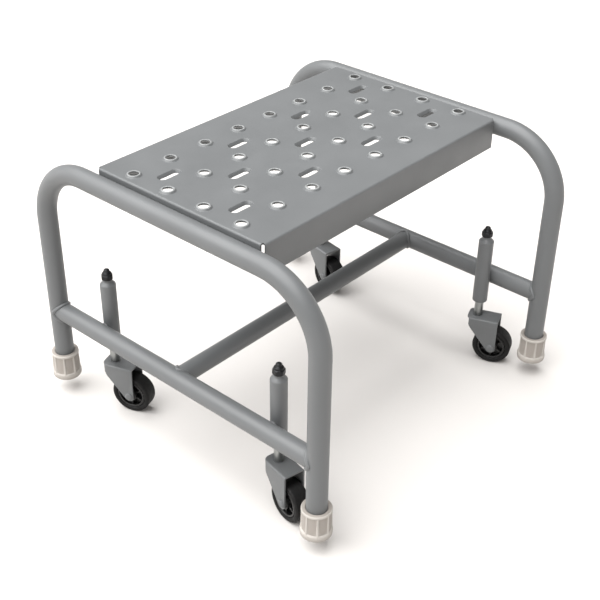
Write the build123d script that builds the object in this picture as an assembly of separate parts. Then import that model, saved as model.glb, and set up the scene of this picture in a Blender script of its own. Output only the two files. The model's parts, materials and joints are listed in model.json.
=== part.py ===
from build123d import *
import os

# Mobile ladder stand: a one-step rolling stand. Two bent-tube side frames carry a perforated
# sheet tread between them. Two stretchers and one cross tube tie the legs together, and four
# sprung swivel casters stand in housings beside the stretchers. Under a person's weight the
# casters sink into their housings and the rubber feet stand on the floor.
#
# Millimetres. The origin is on the floor under the middle of the stand, +X is right, +Y is
# rear and +Z is up. The stand is drawn with nobody on it, rolling on its wheels, so its feet
# hang above the floor by the casters' travel.

# ---------------------------------------------------------------- driving dimensions

# Side frames, each one tube bent into an upside-down U
frame_width = 428.0  # between the side frames' centre planes
frame_depth = 418.0  # between the front and rear legs' centrelines
rail_height = 322.0  # centreline of the top rails above the floor
leg_od = 23.5
leg_wall = 1.6
bend_radius = 74.0  # on the centreline

# Stretchers, which tie front leg to rear leg, and the cross tube between them
stretcher_height = 118.5
stretcher_od = 22.8
stretcher_wall = 1.6
cross_od = 22.2
cross_wall = 1.6

# Tread, a sheet folded down on all four sides
tread_inset = 85.0  # from the legs' centrelines in to the tread's front and rear
tread_proud = 1.2  # top of the tread above the top of the rails
sheet = 2.0
lip_height = 36.5
fold_radius = 2.4  # outside the fold
corner_relief = 4.0  # cut out where two folds meet

# Pattern of raised round holes, with a sunk slot in every other space between them
hole_pitch = 53.4
column_margin = 15.0  # least distance from a hole's centre to the tread's end
row_margin = 40.0  # least distance from a hole's centre to the tread's front or rear
hole_radius = 5.5
rim_crest_radius = 6.9
rim_base_radius = 9.2
rim_rise = 2.2
rim_crest_round = 0.7
slot_mouth_length = 31.0
slot_mouth_width = 12.0
slot_length = 25.0
slot_width = 6.5
slot_drop = 1.8
dish_wall = 1.5

# Rubber feet
foot_height = 35.5
foot_sole = 7.0
foot_base_radius = 18.0
foot_ring_height = 8.5
foot_waist_radius = 17.2
foot_top_radius = 16.9
foot_edge = 1.8
foot_rim_height = 5.0  # the plain rim above the panels
panel_count = 8
panel_radius = 30.0  # of each panel's hollow
panel_depth = 1.2

# Casters
caster_inset = 73.0  # from a leg's centreline in to the caster's stem
caster_travel = 21.5
bump_gap = 1.2  # left between fork and housing when the feet are down
wheel_radius = 25.0
tyre_width = 20.0
tyre_thickness = 7.0
tyre_round = 3.5
rim_width = 18.0
rim_thickness = 2.5
web_thickness = 4.0
hub_radius = 8.0
wheel_ribs = 6
rib_thickness = 2.0
rib_setback = 2.0  # from the rim's edge in to a rib's edge
rib_root = 1.0  # how far a rib runs into the hub and the rim
wheel_side_gap = 0.5
trail = 23.0  # from the stem's axis back to the axle
axle_radius = 3.15
sleeve_radius = 4.8
rivet_head_radius = 5.6
rivet_head_height = 1.6
rivet_crest_radius = 3.4

# Fork, pressed from plate
fork_plate = 2.0
fork_fold_radius = 2.5  # outside the fold
fork_inner_width = 23.0
fork_top = 65.7
fork_nose = 12.0  # from the stem's axis forward to the end of the plate
fork_tail = 6.0  # from the axle back to the end of the plate
fork_nose_round = 8.0
fork_shoulder = 8.0  # depth of the leg's straight leading edge
fork_toe_radius = 6.5

# Spring housing with its bushes and stem
housing_od = 19.0
housing_wall = 1.6
housing_length = 88.0
crown_height = 4.0
neck_height = 3.0
neck_radius = 5.4
stem_radius = 5.55
rod_radius = 4.0  # the stem above its shoulder
running_clearance = 0.05
neck_clearance = 0.3
lower_bush_length = 14.0
upper_bush_length = 8.0
shoulder_gap = 1.0  # between the lower bush and the stem's shoulder
seat_thickness = 3.0
seat_side_gap = 0.3
spring_wire = 1.4
spring_coil_radius = 6.0
spring_turns = 12
nut_across_flats = 13.0
nut_corner_radius = 7.15  # what the hexagon's corners are turned down to
nut_hex_height = 6.5
nut_collar_height = 2.5
nut_collar_radius = 5.6
stem_tip = 4.5  # how far the rod stands out of the nut
tip_chamfer = 1.2
stem_rivet_radius = 6.0
stem_rivet_height = 2.0

# Which way each caster trails at rest, in degrees round from straight forward (-Y)
swivel_rest = {
    "front_left": -12.0,
    "front_right": 21.0,
    "rear_left": 20.0,
    "rear_right": -11.0,
}

# ---------------------------------------------------------------- derived places

leg_radius = leg_od / 2
stretcher_radius = stretcher_od / 2
housing_radius = housing_od / 2
housing_bore = housing_radius - housing_wall
leg_x = frame_width / 2
leg_y = frame_depth / 2
foot_bottom = caster_travel
leg_bottom = foot_bottom + foot_sole
tread_top = rail_height + leg_radius + tread_proud
tread_width = frame_width - leg_od
tread_depth = frame_depth - 2 * tread_inset
caster_x = leg_x - stretcher_radius - housing_radius
caster_y = leg_y - caster_inset
housing_bottom = fork_top + caster_travel + bump_gap
crown_base = housing_bottom + housing_length
neck_top = crown_base + crown_height + neck_height
shoulder = housing_bottom + lower_bush_length + shoulder_gap
spring_bottom = shoulder + seat_thickness
spring_top = crown_base - upper_bush_length
fork_outer_width = fork_inner_width + 2 * fork_plate
wheel_rim_radius = wheel_radius - tyre_thickness
nut_top = neck_top + nut_hex_height + nut_collar_height

corners = {
    "front_left": (-1, -1),
    "front_right": (1, -1),
    "rear_left": (-1, 1),
    "rear_right": (1, 1),
}
sides = {"left": -1, "right": 1}


# ---------------------------------------------------------------- helpers


def turned(points):
    """A solid of revolution about Z from a closed outline of (radius, height) points."""
    return revolve(make_face(Plane.XZ * Polyline(*points, close=True)), Axis.Z)


def turned_on_axle(points):
    """The same about the wheel's axle, from (radius, distance along the axle) points."""
    return Pos(0, -trail, wheel_radius) * Rot(0, 90, 0) * turned(points)


def ring(inner, outer, bottom, top):
    """A plain tube about Z."""
    return turned([(inner, bottom), (outer, bottom), (outer, top), (inner, top)])


def rod(radius, start, end):
    """A solid bar between two points."""
    line = Line(start, end)
    return sweep(Plane(origin=line @ 0, z_dir=line % 0) * Circle(radius), path=line)


# ---------------------------------------------------------------- frame


def side_frame(x):
    """One tube: up the front leg, over the top rail and down the rear leg."""
    path = FilletPolyline(
        (x, -leg_y, leg_bottom),
        (x, -leg_y, rail_height),
        (x, leg_y, rail_height),
        (x, leg_y, leg_bottom),
        radius=bend_radius,
    )
    section = Circle(leg_radius) - Circle(leg_radius - leg_wall)
    return sweep(Plane(origin=path @ 0, z_dir=path % 0) * section, path=path)


def stretcher(x):
    """A tube from front leg to rear leg, with its ends cut to the legs' round."""
    front = (x, -leg_y, stretcher_height)
    rear = (x, leg_y, stretcher_height)
    tube = rod(stretcher_radius, front, rear) - rod(stretcher_radius - stretcher_wall, front, rear)
    for y in (-leg_y, leg_y):
        tube -= rod(leg_radius, (x, y, leg_bottom), (x, y, rail_height - bend_radius))
    return tube


def cross_tube():
    """A tube from stretcher to stretcher, with its ends cut to their round."""
    left = (-leg_x, 0, stretcher_height)
    right = (leg_x, 0, stretcher_height)
    tube = rod(cross_od / 2, left, right) - rod(cross_od / 2 - cross_wall, left, right)
    for x in (-leg_x, leg_x):
        tube -= rod(stretcher_radius, (x, -leg_y, stretcher_height), (x, leg_y, stretcher_height))
    return tube


def foot(x, y):
    """A rubber cup with hollowed panels, pressed over the end of a leg."""
    top = foot_bottom + foot_height
    ring_top = foot_bottom + foot_ring_height
    cup = turned(
        [
            (0, foot_bottom),
            (foot_base_radius - foot_edge, foot_bottom),
            (foot_base_radius, foot_bottom + foot_edge),
            (foot_base_radius, ring_top - foot_edge),
            (foot_waist_radius, ring_top),
            (foot_top_radius, top - foot_edge / 2),
            (foot_top_radius - foot_edge / 2, top),
            (leg_radius, top),
            (leg_radius, leg_bottom),
            (0, leg_bottom),
        ]
    )
    reach = foot_waist_radius + panel_radius - panel_depth
    hollow = Pos(0, 0, ring_top) * Cylinder(
        panel_radius,
        foot_height - foot_ring_height - foot_rim_height,
        align=(Align.CENTER, Align.CENTER, Align.MIN),
    )
    cup -= [place * hollow for place in PolarLocations(reach, panel_count)]
    return Pos(x, y, 0) * cup


# ---------------------------------------------------------------- tread


def folded_sheet():
    """The tread's pan: a flat top with a lip down each side, open at the corners."""
    hang = (Align.CENTER, Align.CENTER, Align.MAX)
    outside = Pos(0, 0, tread_top) * Box(tread_width, tread_depth, lip_height, align=hang)
    outside = fillet(outside.edges().group_by(Axis.Z)[-1], fold_radius)
    inside = Pos(0, 0, tread_top - sheet) * Box(
        tread_width - 2 * sheet, tread_depth - 2 * sheet, lip_height, align=hang
    )
    inside = fillet(inside.edges().group_by(Axis.Z)[-1], fold_radius - sheet)
    relief = Pos(0, 0, tread_top - fold_radius) * Box(
        2 * corner_relief, 2 * corner_relief, lip_height, align=hang
    )
    corner_places = GridLocations(tread_width, tread_depth, 2, 2)
    return outside - inside - [place * relief for place in corner_places]


def grid(span, margin):
    """How many holes fit along a span of the tread."""
    return int((span - 2 * margin) / hole_pitch) + 1


def dish(length, width, drop_length, drop_width, top, bottom):
    """A solid that tapers from one slot shape down to another."""
    upper = Pos(0, 0, top) * SlotOverall(length, width)
    lower = Pos(0, 0, bottom) * SlotOverall(drop_length, drop_width)
    return loft([upper.face(), lower.face()])


def tread():
    """The pan with its raised holes for grip and its sunk slots for drainage."""
    columns = grid(tread_width, column_margin)
    rows = grid(tread_depth, row_margin)
    up = (Align.CENTER, Align.CENTER, Align.MIN)
    rim = Cone(rim_base_radius, rim_crest_radius, rim_rise, align=up)
    rim = Pos(0, 0, tread_top) * fillet(rim.edges().sort_by(Axis.Z)[-1], rim_crest_round)
    rim_cut = Pos(0, 0, tread_top - sheet) * Cone(
        rim_crest_radius, hole_radius, sheet + rim_rise, align=up
    )
    low = tread_top - sheet - slot_drop
    slot_wall = dish(
        slot_mouth_length,
        slot_mouth_width,
        slot_length + 2 * dish_wall,
        slot_width + 2 * dish_wall,
        tread_top - sheet,
        low,
    )
    slot_cut = dish(slot_mouth_length, slot_mouth_width, slot_length, slot_width, tread_top, low)
    holes = GridLocations(hole_pitch, hole_pitch, columns, rows)
    slots = [
        Pos((i - columns / 2 + 1) * hole_pitch, (j - rows / 2 + 1) * hole_pitch, 0)
        for i in range(columns - 1)
        for j in range(rows - 1)
        if (i + j) % 2 == 0
    ]
    pan = folded_sheet()
    pan += [place * rim for place in holes] + [place * slot_wall for place in slots]
    return pan - [place * rim_cut for place in holes] - [place * slot_cut for place in slots]


# ---------------------------------------------------------------- caster, stem axis on Z


def housing():
    """The spring's tube, drawn in at the top to a neck that the lock nut rests on."""
    return turned(
        [
            (housing_bore, housing_bottom),
            (housing_radius, housing_bottom),
            (housing_radius, crown_base),
            (neck_radius, crown_base + crown_height),
            (neck_radius, neck_top),
            (rod_radius + neck_clearance, neck_top),
            (rod_radius + neck_clearance, crown_base),
            (housing_bore, crown_base),
        ]
    )


def lower_bush():
    bore = stem_radius + running_clearance
    return ring(bore, housing_bore, housing_bottom, housing_bottom + lower_bush_length)


def upper_bush():
    return ring(rod_radius + running_clearance, housing_bore, spring_top, crown_base)


def spring_seat():
    """The thrust washer that the stem turns under, and that the spring pushes down."""
    outer = housing_bore - seat_side_gap
    return ring(rod_radius + running_clearance, outer, shoulder, spring_bottom)


def spring():
    """A compression spring between the seat and the upper bush."""
    length = spring_top - spring_bottom - spring_wire
    start = spring_bottom + spring_wire / 2
    path = Helix(pitch=length / spring_turns, height=length, radius=spring_coil_radius)
    coil = sweep(Plane(origin=path @ 0, z_dir=path % 0) * Circle(spring_wire / 2), path=path)
    return Pos(0, 0, start) * coil


def stem():
    """The caster's post, headed over under the fork, stepped in above its shoulder."""
    under = fork_top - fork_plate
    tip = nut_top + stem_tip
    return turned(
        [
            (0, under - stem_rivet_height),
            (stem_rivet_radius, under - stem_rivet_height),
            (stem_rivet_radius, under),
            (rod_radius, under),
            (rod_radius, fork_top),
            (stem_radius, fork_top),
            (stem_radius, shoulder),
            (rod_radius, shoulder),
            (rod_radius, tip - tip_chamfer),
            (rod_radius - tip_chamfer, tip),
            (0, tip),
        ]
    )


def lock_nut():
    """A hexagon nut with a round locking collar on top."""
    hexagon = RegularPolygon(nut_across_flats / 2, 6, major_radius=False)
    body = extrude(Pos(0, 0, neck_top) * hexagon, nut_hex_height)
    corner = nut_corner_radius
    body &= turned(
        [
            (0, neck_top),
            (corner - tip_chamfer, neck_top),
            (corner, neck_top + tip_chamfer),
            (corner, neck_top + nut_hex_height - tip_chamfer),
            (corner - tip_chamfer, neck_top + nut_hex_height),
            (0, neck_top + nut_hex_height),
        ]
    )
    collar = turned(
        [
            (0, neck_top),
            (nut_collar_radius, neck_top),
            (nut_collar_radius, nut_top - tip_chamfer),
            (nut_collar_radius - tip_chamfer, nut_top),
            (0, nut_top),
        ]
    )
    return body + collar - ring(0, rod_radius, neck_top, nut_top)


def fork():
    """A pressed channel: a flat top round the stem and a leg down each side of the wheel."""
    back = trail + fork_tail
    reach = fork_nose + back
    outline = make_hull(
        Polyline(
            (fork_nose, fork_top - fork_shoulder),
            (fork_nose, fork_top),
            (-back, fork_top),
            (-back, fork_top - fork_shoulder),
        ).edges()
        + CenterArc((-trail, wheel_radius), fork_toe_radius, 0, 360).edges()
    )
    block = extrude(Plane.YZ * outline, fork_outer_width / 2, both=True)
    folds = block.edges().filter_by(Axis.Y).group_by(Axis.Z)[-1]
    block = fillet(folds, fork_fold_radius)
    channel = Pos(0, 0, fork_top - fork_plate) * Box(
        fork_inner_width,
        2 * reach,
        2 * fork_top,
        align=(Align.CENTER, Align.CENTER, Align.MAX),
    )
    inner_folds = channel.edges().filter_by(Axis.Y).group_by(Axis.Z)[-1]
    channel = fillet(inner_folds, fork_fold_radius - fork_plate)
    plan = Pos(0, (fork_nose - back) / 2, 0) * Rectangle(fork_outer_width, reach)
    plan = fillet(plan.vertices().group_by(Axis.Y)[-1], fork_nose_round)
    pressed = (block - channel) & extrude(plan, fork_top)
    pressed -= rod(rod_radius, (0, 0, fork_top - fork_plate), (0, 0, fork_top))
    half = fork_outer_width / 2
    return pressed - rod(axle_radius, (-half, -trail, wheel_radius), (half, -trail, wheel_radius))


def axle_rivet():
    """The axle, headed over on the outside of both legs."""
    half = fork_outer_width / 2
    return turned_on_axle(
        [
            (0, -half - rivet_head_height),
            (rivet_crest_radius, -half - rivet_head_height),
            (rivet_head_radius, -half),
            (axle_radius, -half),
            (axle_radius, half),
            (rivet_head_radius, half),
            (rivet_crest_radius, half + rivet_head_height),
            (0, half + rivet_head_height),
        ]
    )


def wheel_sleeve():
    """The steel sleeve that is clamped between the fork's legs, and that the wheel turns on."""
    half = fork_inner_width / 2
    outline = [(axle_radius, -half), (sleeve_radius, -half), (sleeve_radius, half)]
    return turned_on_axle(outline + [(axle_radius, half)])


def wheel_core():
    """Hub, ribbed web and rim in one moulding."""
    bore = sleeve_radius + running_clearance
    hub_half = fork_inner_width / 2 - wheel_side_gap
    web = web_thickness / 2
    rim_half = rim_width / 2
    rim_inner = wheel_rim_radius - rim_thickness
    core = turned_on_axle(
        [
            (bore, -hub_half),
            (hub_radius, -hub_half),
            (hub_radius, -web),
            (rim_inner, -web),
            (rim_inner, -rim_half),
            (wheel_rim_radius, -rim_half),
            (wheel_rim_radius, rim_half),
            (rim_inner, rim_half),
            (rim_inner, web),
            (hub_radius, web),
            (hub_radius, hub_half),
            (bore, hub_half),
        ]
    )
    span = rim_inner - hub_radius
    rib = Box(span + 2 * rib_root, rib_thickness, rim_width - 2 * rib_setback)
    place = Pos(0, -trail, wheel_radius) * Rot(0, 90, 0)
    middle = hub_radius + span / 2
    return core + [place * spot * rib for spot in PolarLocations(middle, wheel_ribs)]


def tyre():
    half = tyre_width / 2
    flat = make_face(
        Plane.XZ
        * Polyline(
            (wheel_rim_radius, -half),
            (wheel_radius, -half),
            (wheel_radius, half),
            (wheel_rim_radius, half),
            close=True,
        )
    )
    flat = fillet(flat.vertices().group_by(Axis.X)[-1], tyre_round)
    return Pos(0, -trail, wheel_radius) * Rot(0, 90, 0) * revolve(flat, Axis.Z)


# ---------------------------------------------------------------- assembly

nodes = {"cross_tube": cross_tube(), "tread": tread()}

for side, sign in sides.items():
    nodes[f"side_frame_{side}"] = side_frame(sign * leg_x)
    nodes[f"stretcher_{side}"] = stretcher(sign * leg_x)

caster_pieces = {
    "caster_housing": housing(),
    "lower_bush": lower_bush(),
    "upper_bush": upper_bush(),
    "spring": spring(),
    "spring_seat": spring_seat(),
    "caster_stem": stem(),
    "lock_nut": lock_nut(),
    "fork": fork(),
    "axle_rivet": axle_rivet(),
    "wheel_sleeve": wheel_sleeve(),
    "wheel_core": wheel_core(),
    "tyre": tyre(),
}

for corner, (sx, sy) in corners.items():
    nodes[f"foot_{corner}"] = foot(sx * leg_x, sy * leg_y)
    place = Pos(sx * caster_x, sy * caster_y, 0) * Rot(0, 0, swivel_rest[corner])
    for piece, solid in caster_pieces.items():
        nodes[f"{piece}_{corner}"] = place * solid

os.makedirs("parts", exist_ok=True)
for name, solid in nodes.items():
    export_step(solid, f"parts/{name}.step")
print(len(nodes), "nodes written")
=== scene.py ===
# %% [markdown]
# # A one-step rolling ladder stand
# The stand was designed as a CAD model first. That imported model is the frame here:
# it says where every tube, foot and caster is, and which pieces move together. This notebook
# dresses it. Each cell makes one piece or one finish, places it by the frame, and lets it
# ride on the body that the real piece belongs to.

# %% Load the frame
import json
from math import ceil, copysign, cos, pi, radians, sin, sqrt

import bmesh
import bpy
from mathutils import Matrix, Vector


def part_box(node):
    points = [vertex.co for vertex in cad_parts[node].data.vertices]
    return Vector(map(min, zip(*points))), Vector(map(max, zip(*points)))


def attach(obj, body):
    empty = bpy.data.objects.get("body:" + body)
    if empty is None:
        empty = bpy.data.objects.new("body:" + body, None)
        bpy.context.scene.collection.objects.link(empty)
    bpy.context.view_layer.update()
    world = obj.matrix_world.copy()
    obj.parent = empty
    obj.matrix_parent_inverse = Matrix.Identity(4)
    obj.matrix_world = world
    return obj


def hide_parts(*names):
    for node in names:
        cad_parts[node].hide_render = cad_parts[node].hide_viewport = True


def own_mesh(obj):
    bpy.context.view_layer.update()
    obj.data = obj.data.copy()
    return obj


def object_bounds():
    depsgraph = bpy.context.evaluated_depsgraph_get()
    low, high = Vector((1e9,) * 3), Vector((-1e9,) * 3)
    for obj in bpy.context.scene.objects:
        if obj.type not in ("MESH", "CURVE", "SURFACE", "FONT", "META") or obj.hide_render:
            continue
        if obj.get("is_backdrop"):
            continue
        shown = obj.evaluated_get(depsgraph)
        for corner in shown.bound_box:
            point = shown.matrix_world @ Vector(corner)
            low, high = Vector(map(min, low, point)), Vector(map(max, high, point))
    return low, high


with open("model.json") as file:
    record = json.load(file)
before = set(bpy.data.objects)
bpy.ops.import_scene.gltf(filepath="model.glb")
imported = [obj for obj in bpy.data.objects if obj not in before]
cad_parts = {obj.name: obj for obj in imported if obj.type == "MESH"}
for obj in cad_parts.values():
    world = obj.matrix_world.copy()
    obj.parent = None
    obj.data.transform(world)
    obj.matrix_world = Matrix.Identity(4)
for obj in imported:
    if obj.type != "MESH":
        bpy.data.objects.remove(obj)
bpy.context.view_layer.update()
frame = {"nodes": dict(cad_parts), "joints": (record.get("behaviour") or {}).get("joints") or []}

MM = 0.001
scene = bpy.context.scene
joints = {joint["name"]: joint for joint in frame["joints"]}
corners = [name[len("swivel_"):] for name in joints if name.startswith("swivel_")]

# %% [markdown]
# ## Camera
# A long lens from the front left, well above the tread, rolled by less than a degree.
# Blender's camera looks along its own -Z, so its rotation is built from three directions:
# right, up and back.

# %% Camera
AZIMUTH = radians(-48.8)
ELEVATION = radians(33.2)
ROLL = radians(0.7)
EYE = Vector((-0.8717, -0.7579, 0.8761))
LENS = 66.7

back = Vector((sin(AZIMUTH) * cos(ELEVATION), -cos(AZIMUTH) * cos(ELEVATION), sin(ELEVATION)))
right = Vector((0, 0, 1)).cross(back).normalized()
up = back.cross(right)
turned_right = cos(ROLL) * right + sin(ROLL) * up
turned_up = cos(ROLL) * up - sin(ROLL) * right
facing = Matrix((turned_right, turned_up, back)).transposed().to_4x4()
camera = bpy.data.objects.new("camera", bpy.data.cameras.new("camera"))
camera.data.lens = LENS
camera.matrix_world = Matrix.Translation(EYE) @ facing
scene.collection.objects.link(camera)
scene.camera = camera
print("camera", [round(value, 3) for value in EYE])

# %% [markdown]
# ## A node helper
# Shader trees and geometry trees are both made of nodes, so one small function serves both.
# It adds a node, sets its own options, sets the numbers on its sockets and plugs in what
# feeds it. Colours are written as sRGB hex, as on a paint card, and one function turns them
# into the linear values that a shader works with.

# %% Node and colour helpers
def add(tree, kind, values=None, links=None, **settings):
    """Adds one node to a tree."""
    made = tree.nodes.new(kind)
    for name, value in settings.items():
        setattr(made, name, value)
    for socket, value in (values or {}).items():
        made.inputs[socket].default_value = value
    for socket, source in (links or {}).items():
        tree.links.new(source, made.inputs[socket])
    return made


def colour(code):
    """An sRGB hex colour as linear RGBA."""
    channels = [int(code[i:i + 2], 16) / 255 for i in (0, 2, 4)]
    linear = [c / 12.92 if c <= 0.04045 else ((c + 0.055) / 1.055) ** 2.4 for c in channels]
    return (*linear, 1.0)


def per(size):
    """The scale that gives a pattern features of this size in millimetres."""
    return 1 / (size * MM)


def new_finish(name, **shader_values):
    """A material with one Principled shader. Its sockets are named with underscores."""
    material = bpy.data.materials.new(name)
    material.use_nodes = True
    shader = material.node_tree.nodes["Principled BSDF"]
    for socket, value in shader_values.items():
        shader.inputs[socket.replace("_", " ")].default_value = value
    return material


def opened(material):
    """A material's tree, its shader, and the object coordinates that patterns read."""
    tree = material.node_tree
    return tree, tree.nodes["Principled BSDF"], add(tree, "ShaderNodeTexCoord").outputs["Object"]


def noise(tree, place, size, detail, roughness=0.5):
    """A noise with features of this size, as a socket."""
    values = {"Scale": per(size), "Detail": detail, "Roughness": roughness}
    return add(tree, "ShaderNodeTexNoise", values, {"Vector": place}).outputs["Fac"]


def fade(tree, value, start, end, at_start, at_end):
    """A number that goes from one value to another while a socket goes from start to end."""
    ends = {"From Min": start, "From Max": end, "To Min": at_start, "To Max": at_end}
    return add(tree, "ShaderNodeMapRange", ends, {"Value": value}).outputs["Result"]


def mottle(material, size, dark, light):
    """Drifting tone: two near colours mixed by a soft noise of this size."""
    tree, shader, place = opened(material)
    cloud = noise(tree, place, size, detail=4.0, roughness=0.55)
    tones = {6: colour(dark), 7: colour(light)}
    tone = add(tree, "ShaderNodeMix", tones, {0: cloud}, data_type="RGBA")
    tree.links.new(tone.outputs[2], shader.inputs["Base Color"])


def uneven_gloss(material, size, low, high):
    """Roughness that wanders between two values."""
    tree, shader, place = opened(material)
    spread = fade(tree, noise(tree, place, size, detail=3.0), 0.3, 0.7, low, high)
    tree.links.new(spread, shader.inputs["Roughness"])


def raise_grain(material, pattern, height, strength):
    """Surface relief that follows a pattern's socket, height in millimetres."""
    tree, shader, _ = opened(material)
    depth = {"Strength": strength, "Distance": height * MM}
    relief = add(tree, "ShaderNodeBump", depth, {"Height": pattern})
    tree.links.new(relief.outputs["Normal"], shader.inputs["Normal"])


def grain(material, size, height, strength):
    """Relief from a noise of this size."""
    tree, _, place = opened(material)
    raise_grain(material, noise(tree, place, size, detail=2.0), height, strength)


def surface(name, tone, gloss, relief=None, **shader_values):
    """A finish with drifting tone (size, dark, light), uneven gloss (size, low, high) and fine
    relief (size, height, strength), in millimetres."""
    material = new_finish(name, **shader_values)
    mottle(material, *tone)
    uneven_gloss(material, *gloss)
    if relief:
        grain(material, *relief)
    return material


finishes = {}

# %% [markdown]
# ## Finish: baked grey enamel
# The tubes, tread, housings and forks are steel sprayed with grey enamel and baked. The film
# is a satin paint: a plain dielectric, IOR 1.5, that levels out before it cures, and leaves
# the shallow "orange peel" that sprayed paint has, 1 to 2 mm from swell to swell. It is drawn
# at 2.2 mm, a little coarse, so that it shows. The tone drifts a little over a hand's width.

# %% Baked grey enamel
def baked_enamel(name="baked_grey_enamel_on_steel"):
    return surface(
        name, tone=(70, "595B5C", "646667"), gloss=(35, 0.40, 0.50), relief=(2.2, 0.05, 0.6), IOR=1.5,
        Metallic=0.0,
    )


finishes["enamel"] = baked_enamel()
print("finish", finishes["enamel"].name)

# %% [markdown]
# ## Finish: the same enamel, trodden, with a painted highlight
# Shoes polish the raised rims of the tread first. The wear is tied to height: only what
# stands above the sheet loses its colour, in broken patches, towards the pale primer. This
# lightening is partly wear and partly a painted highlight on the rim crests.

# %% Trodden enamel with a painted highlight
RIM_RISE = 2.2
WORN_AND_HIGHLIT_FROM, WORN_AND_HIGHLIT_TO = 1.5, 2.1  # heights above the sheet, between which the wear and the painted highlight set in
WEAR_AND_HIGHLIGHT = 0.55
PRIMER_AND_HIGHLIGHT = "C4C6C5"
POLISHED = 0.26
tread_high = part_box("tread")[1]
TREAD_TOP = tread_high.z - RIM_RISE * MM


def tinted(material, code, amount):
    """Mixes a colour over what feeds the shader, by a socket's amount."""
    tree, shader, _ = opened(material)
    paint = shader.inputs["Base Color"].links[0].from_socket
    mixed = add(tree, "ShaderNodeMix", {7: colour(code)}, {0: amount, 6: paint}, data_type="RGBA")
    tree.links.new(mixed.outputs[2], shader.inputs["Base Color"])


def trodden_and_highlit_enamel():
    material = baked_enamel("trodden_and_highlit_grey_enamel_on_steel")
    tree, shader, place = opened(material)
    height = add(tree, "ShaderNodeSeparateXYZ", links={"Vector": place}).outputs["Z"]
    raised = fade(tree, height, TREAD_TOP + WORN_AND_HIGHLIT_FROM * MM, TREAD_TOP + WORN_AND_HIGHLIT_TO * MM, 0.0, WEAR_AND_HIGHLIGHT)
    patches = noise(tree, place, 4, detail=3.0)
    worn_and_highlit = add(tree, "ShaderNodeMath", links={0: raised, 1: patches}, operation="MULTIPLY")
    # Partly wear, partly painted highlight: the rim crests are lightened towards the primer.
    tinted(material, PRIMER_AND_HIGHLIGHT, worn_and_highlit.outputs["Value"])
    gloss = shader.inputs["Roughness"].links[0].from_socket
    polished = add(tree, "ShaderNodeMix", {3: POLISHED}, {0: raised, 2: gloss})
    tree.links.new(polished.outputs[0], shader.inputs["Roughness"])
    return material


finishes["tread"] = trodden_and_highlit_enamel()
print("finish", finishes["tread"].name)

# %% [markdown]
# ## Finishes: rubber and moulded plastic
# The feet are off-white, non-marking rubber, vulcanised in a mould: matt, with a fine bloom,
# and greyer near the sole where they meet the floor. Their sunk panels are darkened with
# painted shade. The tyres are hard black rubber. The
# wheel's core is moulded polypropylene, IOR 1.49, glossier, with a faint flow in its skin.

# %% Rubber and plastic
CUP_WALL, CUP_HOLLOW = 16.5, 15.9  # the radii between which a panel is darkened with painted shade
CUP_GRIME = 9.0  # how high the dust climbs from the sole
# One colour serves both the dust near the sole and the painted shade in the panels.
CUP_DUST_AND_SHADE = "847D76"


def foot_rubber():
    material = surface(
        "vulcanised_off_white_rubber", tone=(12, "A49F99", "B9B4AE"), gloss=(6, 0.55, 0.72),
        relief=(0.9, 0.05, 0.7), IOR=1.52,
    )
    tree, _, place = opened(material)
    cup_low, cup_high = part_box("foot_rear_right")
    axis = tuple((cup_low + cup_high) / 2)
    folded = add(tree, "ShaderNodeVectorMath", links={0: place}, operation="ABSOLUTE").outputs[0]
    off_axis = add(tree, "ShaderNodeVectorMath", {1: axis}, {0: folded}, operation="SUBTRACT").outputs[0]
    flat = add(tree, "ShaderNodeVectorMath", {1: (1, 1, 0)}, {0: off_axis}, operation="MULTIPLY").outputs[0]
    radius = add(tree, "ShaderNodeVectorMath", links={0: flat}, operation="LENGTH").outputs["Value"]
    # Painted shade: the sunk panels are darkened towards the dust colour.
    panel_shade = fade(tree, radius, CUP_WALL * MM, CUP_HOLLOW * MM, 0.0, 0.7)
    height = add(tree, "ShaderNodeSeparateXYZ", links={"Vector": place}).outputs["Z"]
    grime = fade(tree, height, cup_low.z, cup_low.z + CUP_GRIME * MM, 0.6, 0.0)
    dust_and_shade = add(tree, "ShaderNodeMath", links={0: panel_shade, 1: grime}, operation="MAXIMUM")
    tinted(material, CUP_DUST_AND_SHADE, dust_and_shade.outputs["Value"])
    return material


def tyre_rubber():
    return surface(
        "hard_black_rubber", tone=(5, "060606", "0E0D0D"), gloss=(4, 0.52, 0.68), relief=(0.8, 0.05, 0.6),
        IOR=1.52, Specular_IOR_Level=0.25,
    )


def core_plastic():
    return surface(
        "moulded_black_polypropylene", tone=(8, "0C0C0C", "151515"), gloss=(6, 0.22, 0.34),
        relief=(1.4, 0.03, 0.5), IOR=1.49,
    )


def bush_nylon():
    return surface(
        "moulded_natural_nylon", tone=(6, "CFCABB", "DEDACE"), gloss=(5, 0.40, 0.52),
        relief=(0.8, 0.03, 0.5), IOR=1.53,
    )


finishes["foot"] = foot_rubber()
finishes["tyre"] = tyre_rubber()
finishes["core"] = core_plastic()
finishes["nylon"] = bush_nylon()
print("finishes", len(finishes))

# %% [markdown]
# ## Finishes: plain metals
# The stems are turned from bar and zinc plated: a metal with fine rings round it from the
# tool, 0.3 mm apart on the real thing and drawn at 0.6 mm. The lock nut has a black oxide
# skin, a dark and slightly oily metal. The springs are oiled, cold-drawn wire.

# %% Metals
RING_SPACING = 0.6


def turned_zinc():
    tone, gloss = (9, "8A8C8B", "A3A5A4"), (5, 0.28, 0.40)
    material = surface("turned_zinc_plated_steel", tone, gloss, Metallic=1.0)
    tree, _, place = opened(material)
    spacing = {"Scale": per(RING_SPACING) * pi / 10, "Distortion": 0.6, "Detail": 1.0}
    rings = add(tree, "ShaderNodeTexWave", spacing, {"Vector": place}, bands_direction="Z")
    raise_grain(material, rings.outputs["Fac"], 0.03, 0.35)
    return material


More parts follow.
